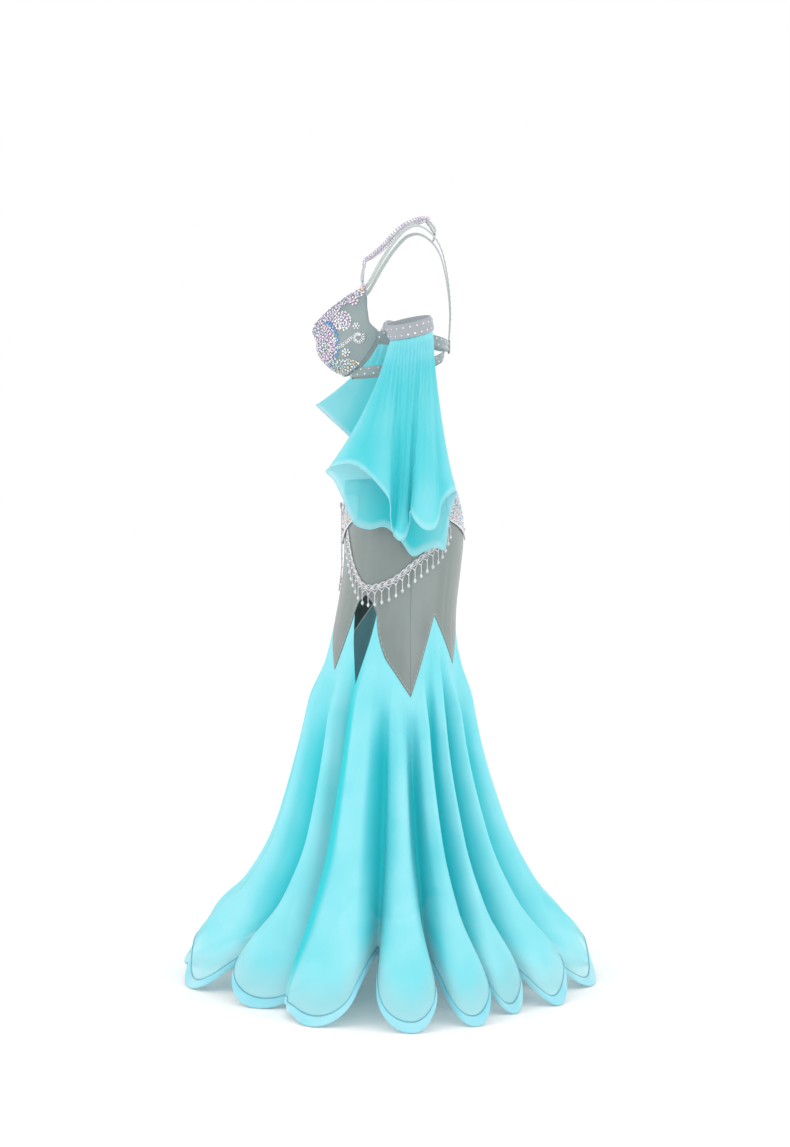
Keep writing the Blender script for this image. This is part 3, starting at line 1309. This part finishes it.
def cupPoint(turn, share, out=0):
    turn, share = np.broadcast_arrays(np.mod(np.asarray(turn, float), 1), np.asarray(share, float))
    surface = lambda u, s: (
        lerp(np.array(cup["middle"], float), smoothLine(cup["outline"], np.mod(u, 1), True), s[..., None])
        + (np.array(cup["apex"], float) - cup["middle"]) * ((1 - s**2.1) ** 0.92)[..., None]
    )
    p = surface(turn, share)
    s = np.clip(share, 0.03, 0.97)
    along = surface(turn + 0.01, s) - surface(turn - 0.01, s)
    down = surface(turn, s + 0.02) - surface(turn, s - 0.02)
    normal = np.cross(along, down)
    normal /= np.maximum(np.linalg.norm(normal, axis=-1, keepdims=True), 1e-9)
    centre = np.array(cup["middle"], float)
    facing = np.sum(normal * (surface(turn, s) - centre), axis=-1, keepdims=True)
    normal = normal * np.where(facing < 0, -1, 1)
    return p + normal * np.asarray(out, float)[..., None] if np.ndim(out) else p + normal * out, normal


def makeCup(name, side):
    flip = np.array([side, 1, 1])
    turn = (np.arange(132) / 132)[None, :]
    shares = np.linspace(0, 1, 44) ** 0.8
    shares[0] = 0.004
    rows = [(s, -0.25) for s in shares[:-2]] + [(0.985, -0.1), (1.0, -0.7), (1.0, -1.9), (0.985, -2.5)]
    rows += [(s, -cup["wall"] + 0.05) for s in shares[:-2][::-1]]
    grid = []
    for s, out in rows:
        p, _ = cupPoint(turn, s + 0 * turn, out)
        # two darts and a seam line pulled a little into the padding
        if out > -0.3:
            away = [((turn - at + 0.5) % 1 - 0.5) / 0.006 for at in (0.135, 0.40, 0.62)]
            pull = sum(0.7 * np.exp(-(gap**2)) for gap in away)
            pull = pull * ease(s * 4) * ease((1 - s) * 8)
            p, _ = cupPoint(turn, s + 0 * turn, out - pull)
        grid.append(p[0])
    piece = sheetPiece("cup_satin_" + name, np.array(grid) * flip, cupSatin, "grey_satin", loop=True)
    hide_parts("cup_" + name)

    tray, taken, widths = BeadTray(), [], []

    # Ornaments are laid out by how far forward and how high they are, alike on the outer and inner half.
    for half in ((-0.09, 0.5), (0.5, 0.91)):
        turns, down = np.linspace(*half, 240)[None, :], np.linspace(0.005, 0.985, 220)[:, None]
        grid, normals = (v.reshape(-1, 3) for v in cupPoint(turns, down))
        levels = [level for level in np.arange(1146, 1306, 4) if np.any(np.abs(grid[:, 2] - level) < 4)]
        front = [grid[np.abs(grid[:, 2] - level) < 4, 1].min() for level in levels]

        def at(y, z):
            gaps = [(grid[:, 1] - a) ** 2 + (grid[:, 2] - b) ** 2 for a, b in zip(y, z)]
            near = np.array([np.argmin(gap) for gap in gaps])
            shown = np.array([gap[k] for gap, k in zip(gaps, near)]) < 6
            return grid[near][shown], normals[near][shown], shown

        def line(kind, y, z, width, tint, turn=0, long=1):
            y, z = np.broadcast_arrays(np.atleast_1d(np.asarray(y, float)), np.asarray(z, float))
            p, n, shown = at(y, z)
            tint = np.broadcast_to(tint, (len(y), 3))[shown]
            turn = np.broadcast_to(turn, len(y))[shown]
            tray.lay(kind, p * flip, n * flip, width, tint, turn, long)
            taken.extend(p)
            widths.extend(np.full(len(p), width))

        def blossom(y, z, r, count, petals, middle):
            a = np.arange(count) / count * 2 * math.pi
            line("stone", y, z, r * 0.74, tints[middle])
            places = (y + r * 0.76 * np.cos(a), z + r * 0.76 * np.sin(a))
            line("stone", *places, r * 0.56, pick(petals, count), turn=a, long=1.2)

        for y, z, deep, tall, width, names, count, long in cupOrnament["arcs"]:
            around = np.arange(count) / (count - 1) * math.pi - math.pi / 2
            places = (y + deep * np.cos(around), z + tall * np.sin(around))
            line("stone", *places, width, pick(names, count), turn=around, long=long)
        for place in cupOrnament["blossoms"]:
            blossom(*place)
        for r, count, width, kind, tint in cupOrnament["scroll"]:
            turns = np.linspace(-3.7, 2.2, count)
            shrink = np.linspace(1, 0.6, count)
            y, z = -67 - r * shrink * np.cos(turns), 1211 + r * shrink * np.sin(turns)
            line(kind, y, z, width, tints[tint])
        for lift, count, width, kind in cupOrnament["stalk"]:
            stalk = np.linspace(0, 1, count)
            line(kind, lerp(-105, -80, stalk), 1194 + lift + 15 * stalk**1.5, width, tints["clear"])

        n = 7500
        y, z = rng.uniform(-151, -52, n), rng.uniform(1148, 1302, n)
        edge = np.interp(z, levels, front)
        oval = ((y + 129) / 24) ** 2 + ((z - 1198) / 41) ** 2 < 0.93
        slope = (z > 1226) & (y < edge + 27 + 7 * np.sin(z / 5.5))
        wedge = ((y + 98) / 17) ** 2 + ((z - 1242) / 18) ** 2 < 1
        low = ((y + 90) / 29) ** 2 + ((z - 1158) / 14) ** 2 < 1
        inside = (y > edge - 1) & (oval | slope | wedge | low | (half[0] > 0))
        y, z, low, oval = y[inside], z[inside], low[inside], oval[inside]
        p, n3, shown = at(y, z)
        low, oval = low[shown], oval[shown]
        count = len(p)
        size = rng.choice([5.2, 4.2, 3.3, 2.7], count, p=[0.1, 0.25, 0.4, 0.25])
        chosen = spaced(p, size, taken, widths, 0.9)
        colours = pick(["lilac", "pink", "clear", "lilac", "white", "clear"], count)
        colours = np.where(oval[:, None], pick(["clear", "lilac", "clear", "pink", "silver"], count), colours)
        cluster = pick(["clear", "silver", "clear", "aqua", "gold", "clear"], count)
        colours = np.where(low[:, None], cluster, colours)
        for kind, part in (("stone", chosen[size[chosen] > 3]), ("seed", chosen[size[chosen] <= 3])):
            turn = rng.uniform(0, 6, len(part))
            tray.lay(kind, p[part] * flip, n3[part] * flip, size[part], colours[part], turn)
            taken.extend(p[part])
            widths.extend(size[part])
    around, n3 = cupPoint(np.arange(124) / 124, 0.985 + np.zeros(124))
    front = around[:, 1] < -88
    tray.lay("seed", around[front] * flip, n3[front] * flip, 2.3, tints["silver"])
    # ornament where the straps meet the cup
    middle, up = np.array([96, -60.5, 1303.0]), np.array([0.55, -0.8, 0.25])
    side = np.array([0.82, 0.57, 0])
    ring = np.arange(7) / 7 * 2 * math.pi
    tray.lay("stone", middle * flip, up * flip, 6.6, tints["gold"])
    around = middle + side * (6 * np.cos(ring))[:, None] + [0, 0, 1] * (6 * np.sin(ring))[:, None]
    tray.lay("stone", around * flip, up * flip, 4.4, pick(["pink", "lilac", "clear"], 7), turn=ring, long=1.3)
    tray.lay("stone", (middle + side * 3 + [0, 0, 12]) * flip, up * flip, 5.6, tints["blue"])
    tray.lay("stone", (middle + side * 8 + [0, 0, 7]) * flip, up * flip, 4.4, tints["pink"])
    tray.piece("cup_beads_" + name, "bead_applique")


chest = {
    "columns": ("z", "side", "front", "back"),
    "rows": [(1120, 134, 98, 90), (1160, 138, 100, 94), (1200, 144, 100, 99), (1240, 147, 98, 103)],
}
bands = {
    "upper": {
        "columns": ("at", "z", "tall"),
        "rows": [(-14.6, 1215, 14), (20, 1212, 16), (55, 1203, 20), (86.6, 1198, 17)],
    },
    "lower": {
        "columns": ("at", "z", "tall"),
        "rows": [(-51.8, 1147, 17), (-10, 1152, 17), (30, 1162, 17), (66, 1179, 17)],
    },
}
bandSection = [
    (0.5, 0.2), (0.5, 1.6), (0.44, 2.2), (0, 2.3), (-0.44, 2.2), (-0.5, 1.6), (-0.5, 0.2), (-0.44, 0),
    (0, 0), (0.44, 0), (0.5, 0.2),
]


def chestPoint(bearing, z, out=0):
    part = lambda v: np.sign(v) * np.abs(v) ** (2 / 2.4)
    side = readTable(chest, "z", z, "side") + out
    back, front = (readTable(chest, "z", z, column) for column in ("back", "front"))
    deep = np.where(sind(bearing) > 0, back, front) + out
    return stacked(side * part(cosd(bearing)), deep * part(sind(bearing)), z)


def makeBand(kind, name, side):
    table = bands[kind]
    flip = np.array([side, 1, 1])
    at = np.linspace(table["rows"][0][0], table["rows"][-1][0], 110)
    z, tall = readTable(table, "at", at, "z"), readTable(table, "at", at, "tall")
    grid = np.array([chestPoint(at, z + share * tall, out) for share, out in bandSection]) * flip
    piece = sheetPiece("band_" + kind + "_" + name, grid, cupSatin, "grey_satin")
    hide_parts(kind + "_band_" + name)
    declareSheet(piece, 0.04)
    tray = BeadTray()
    length = np.linalg.norm(np.diff(chestPoint(at, z), axis=0), axis=1).sum()
    n = int(length / 9.5)
    here = np.interp((np.arange(n) + 0.5) / n, np.linspace(0, 1, len(at)), at)
    zigzagging = np.where(np.arange(n) % 2, 0.26, -0.26) * readTable(table, "at", here, "tall")
    h = readTable(table, "at", here, "z") + zigzagging
    places = chestPoint(here, h, 2.2)
    normals = chestPoint(here, h, 3.2) - places
    colours = pick(["clear", "white", "lilac"], n)
    tray.lay("stone", places * flip, normals * flip, 3.6, colours, turn=rng.uniform(0, 6, n))
    tray.piece("band_stones_" + kind + "_" + name, "bead_applique")


# Each strap has rows of stones, given by their share of its width and their own width, in tints
# that are drawn at random.
straps = {
    "shoulder_strap": {
        "size": (9, 2.2), "segments": 22, "middle": (45, 25, 1310), "rows": [(0, 3.0)], "gap": 11,
        "tints": ("clear", "lilac"), "bothSides": False,
        "line": [
            (96.6, -57.5, 1300.5), (97, -50, 1309), (99, -22, 1358), (99, 2, 1392), (96, 24, 1413),
            (90, 44, 1417), (80, 66, 1405), (66, 85, 1378), (46, 98, 1325), (24, 104, 1262), (6, 102, 1211),
        ],
    },
    "halter": {
        "size": (7, 3), "segments": 14, "middle": (0, 8, 1380), "rows": [(0, 5.2), (-0.42, 2.2), (0.42, 2.2)],
        "tints": ("lilac", "pink", "clear", "clear"), "bothSides": True,
        "line": [
            (4.4, -56.4, 1361), (20, -44, 1368), (42, -20, 1388), (56, 6, 1414), (50, 32, 1430),
            (30, 54, 1437), (1.1, 63, 1439),
        ],
    },
    "halter_strand": {
        "size": (4.5, 2.2), "segments": 5, "middle": (0, 8, 1380), "rows": [(0, 3.6)],
        "tints": ("clear", "pink", "clear"), "bothSides": True,
        "line": [(91, -59, 1308), (62, -62, 1322), (30, -60, 1340), (7.6, -58, 1351.5)],
    },
    "nape_strand": {
        "size": (4.5, 2.2), "segments": 4, "middle": (0, 8, 1380), "rows": [(0, 3.6)],
        "tints": ("clear", "lilac"), "bothSides": True,
        "line": [(27.8, 59.6, 1434.2), (44, 69, 1423), (60, 75, 1411), (73, 73, 1402.6)],
    },
}
strapSection = [
    (-0.5, -0.3), (-0.5, 0.3), (-0.42, 0.5), (0.42, 0.5), (0.5, 0.3), (0.5, -0.3), (0.42, -0.5),
    (-0.42, -0.5), (-0.5, -0.3),
]


def strapFrame(strap, shares):
    p = smoothLine(strap["line"], shares)
    before, after = (smoothLine(strap["line"], np.clip(shares + step, 0, 1)) for step in (-0.004, 0.004))
    along = after - before
    along /= np.linalg.norm(along, axis=-1, keepdims=True)
    out = p - np.array(strap["middle"], float)
    across = np.cross(along, out)
    across /= np.linalg.norm(across, axis=-1, keepdims=True)
    lift = np.cross(across, along)
    lift = lift * np.where(np.sum(lift * out, axis=-1, keepdims=True) < 0, -1, 1)
    return p, across, lift


def makeStrap(kind, name, side):
    strap = straps[kind]
    flip = np.array([side, 1, 1])
    wide, thick = strap["size"]
    shares = np.linspace(0, 1, strap["segments"] * 6)
    p, across, lift = strapFrame(strap, shares)
    grid = np.array([p + across * w * wide + lift * t * thick for w, t in strapSection]) * flip
    piece = sheetPiece(kind + "_cloth_" + name, grid, strapCloth, "rhinestone_strap")
    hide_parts(kind + "_" + name)
    declareSheet(piece, wide / 430)
    tray = BeadTray()
    steps = np.linalg.norm(np.diff(p, axis=0), axis=1)
    length = steps.sum()
    run = np.concatenate([[0], np.cumsum(steps)])
    for share, width in strap["rows"]:
        n = int(length / strap.get("gap", width * 1.12))
        where = np.interp((np.arange(n) + 0.5) / n * length, run, shares)
        q, a, up = strapFrame(strap, where)
        row, colours = q + a * share * wide, pick(strap["tints"], n)
        places = row + up * thick * 0.5
        tray.lay("stone", places * flip, up * flip, width, colours, turn=rng.uniform(0, 6, n))
        if strap["bothSides"]:
            places = row - up * thick * 0.5
            tray.lay("stone", places * flip, -up * flip, width, pick(strap["tints"], n))
    tray.piece(kind + "_stones_" + name, "rhinestone_strap")


backRing = {"radius": 11.2, "wire": 2.3, "y": 102, "z": 1198}


def makeRing():
    turn = np.linspace(0, 2 * math.pi, 73)[:-1][None, :]
    tube = np.linspace(0, 2 * math.pi, 19)[:, None]
    r = backRing["radius"] + backRing["wire"] * np.cos(tube)
    y = backRing["y"] + backRing["wire"] * np.sin(tube) + 0 * turn
    points = stacked(r * np.cos(turn), y, backRing["z"] + r * np.sin(turn))
    piece = sheetPiece("ring_at_back", points, ringMetal, "metal_ring", loop=True)
    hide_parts("back_ring")


def makePendant():
    tray = BeadTray()
    front = [[0, -1.0, 0]]
    middle = np.array([0, -58.5, 1353.0])
    tray.lay("stone", middle, front, 11.5, tints["lilac"], turn=math.pi / 2, long=1.35, tall=0.9)
    ring = np.arange(14) / 14 * 2 * math.pi
    oval = middle + stacked(6.2 * np.cos(ring), 0 * ring, 8.6 * np.sin(ring))
    tray.lay("stone", oval, front, 2.5, tints["clear"])
    tray.lay("stone", middle + [0, 0, 11.5], front, 4.0, tints["clear"])
    tray.lay("diamond", middle - [0, 0, 12.5], [[0, 0, 1.0]], 4.4, tints["clear"], tall=0.9)
    behind = middle + [0, 2.4, 0]
    tray.lay("stone", behind, [[0, 1.0, 0]], 10.5, tints["silver"], turn=math.pi / 2, long=1.3, tall=0.5)
    piece = tray.piece("halter_pendant_beads", "bead_applique")
    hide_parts("halter_pendant")


gore = {"width": 20.5, "height": 26, "flare": 4, "thick": 2.4, "y": -98.5, "z": 1184}
goreSection = [
    (-0.5, 0.2), (-0.5, 0.8), (-0.46, 1), (0.46, 1), (0.5, 0.8), (0.5, 0.2), (0.46, 0), (-0.46, 0),
    (-0.5, 0.2),
]


def makeGore():
    half, tall = gore["width"] / 2, gore["height"] / 2
    z = np.linspace(-tall, tall, 25)
    wide = np.where(z < 0, half + gore["flare"] * np.abs(z / tall) ** 1.2, half + np.abs(z / tall) ** 2)
    rows = []
    for share, depth in goreSection:
        rows.append(stacked(wide * 2 * share, gore["y"] - gore["thick"] * depth, gore["z"] + z))
    piece = sheetPiece("centre_gore_cloth", np.array(rows), greySatin, "bead_applique")
    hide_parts("centre_gore")
    declareSheet(piece, 0.05)
    tray, taken, widths = BeadTray(), [], []
    chart = lambda x, y: (stacked(x, gore["y"] - gore["thick"], y), np.array([[0, -1.0, 0]]))
    layMotif(tray, flower(0, gore["z"] + 1, 7.5, 7, "blue", "clear"), chart, taken, widths)
    n = 900
    x, y = rng.uniform(-half - 3, half + 3, n), rng.uniform(-tall + 1.5, tall - 1.5, n)
    inside = np.abs(x) < np.interp(y, z, wide) - 1.6
    size = rng.choice([4.2, 3.2, 2.4], n)
    places = stacked(x, gore["y"] - gore["thick"], gore["z"] + y)[inside]
    size = size[inside]
    chosen = spaced(places, size, taken, widths)
    colours = pick(["clear", "lilac", "pink", "aqua"], len(chosen))
    tray.lay("stone", places[chosen], [[0, -1.0, 0]], size[chosen], colours)
    tray.piece("centre_gore_beads", "bead_applique")


for name, side in (("left", 1), ("right", -1)):
    makeCup(name, side)
    for kind in bands:
        makeBand(kind, name, side)
    for kind in straps:
        makeStrap(kind, name, side)
makeRing()
makePendant()
makeGore()
print("bra made")


picture = {"width": 790, "height": 1147}
camera = {"away": 4.2, "height": 1.06, "focalPixels": 2210, "horizonRow": 420}


def makeCamera():
    data = bpy.data.cameras.new("camera")
    data.sensor_width = 36
    data.lens = camera["focalPixels"] / picture["height"] * 36
    data.clip_end = 60
    view = bpy.data.objects.new("camera", data)
    tilt = math.atan((picture["height"] / 2 - camera["horizonRow"]) / camera["focalPixels"])
    view.location = (camera["away"], 0, camera["height"] - hipHeight / 1000)
    view.rotation_euler = (math.pi / 2 - tilt, 0, math.pi / 2)
    bpy.context.scene.collection.objects.link(view)
    bpy.context.scene.camera = view


studio = {
    "world": 1.0,
    "floor": 1.0,
    "floorGlow": 0.06,
    "lamps": [
        ("front key", (2.0, -3.0, 1.7), (0, 0, -0.1), 1.6, 20),
        ("back key", (1.0, 3.2, 1.4), (0, 0, -0.1), 1.8, 16),
        ("camera fill", (4.0, 0.4, 1.8), (0, 0, -0.2), 1.4, 5),
    ],
}


def makeLight(name, place, aim, size, power):
    data = bpy.data.lights.new(name, "AREA")
    data.shape, data.size, data.energy = "DISK", size, power
    lamp = bpy.data.objects.new(name, data)
    lamp.location = place
    direction = np.array(aim) - np.array(place)
    lamp.rotation_euler = Vector(direction).to_track_quat("-Z", "Y").to_euler()
    bpy.context.scene.collection.objects.link(lamp)


def makeStudio():
    world = bpy.data.worlds.new("studio")
    world.use_nodes = True
    world.node_tree.nodes["Background"].inputs[0].default_value = (1, 1, 1, 1)
    world.node_tree.nodes["Background"].inputs[1].default_value = studio["world"]
    bpy.context.scene.world = world
    for lamp in studio["lamps"]:
        makeLight(*lamp)
    floor = Finish("studio floor", Roughness=0.9)
    floor.shader.inputs["Base Color"].default_value = (*[studio["floor"]] * 3, 1)
    floor.shader.inputs["Emission Color"].default_value = (1, 1, 1, 1)
    floor.shader.inputs["Emission Strength"].default_value = studio["floorGlow"]
    mesh = bpy.data.meshes.new("floor")
    size, level = 14, -hipHeight / 1000 - 0.002
    corners = [(-size, -size, level), (size, -size, level), (size, size, level), (-size, size, level)]
    mesh.from_pydata(corners, [], [(0, 1, 2, 3)])
    mesh.materials.append(floor.material)
    ground = bpy.data.objects.new("floor", mesh)
    bpy.context.scene.collection.objects.link(ground)
    bpy.context.scene.view_settings.view_transform = "Standard"


makeCamera()
makeStudio()
print("studio ready")
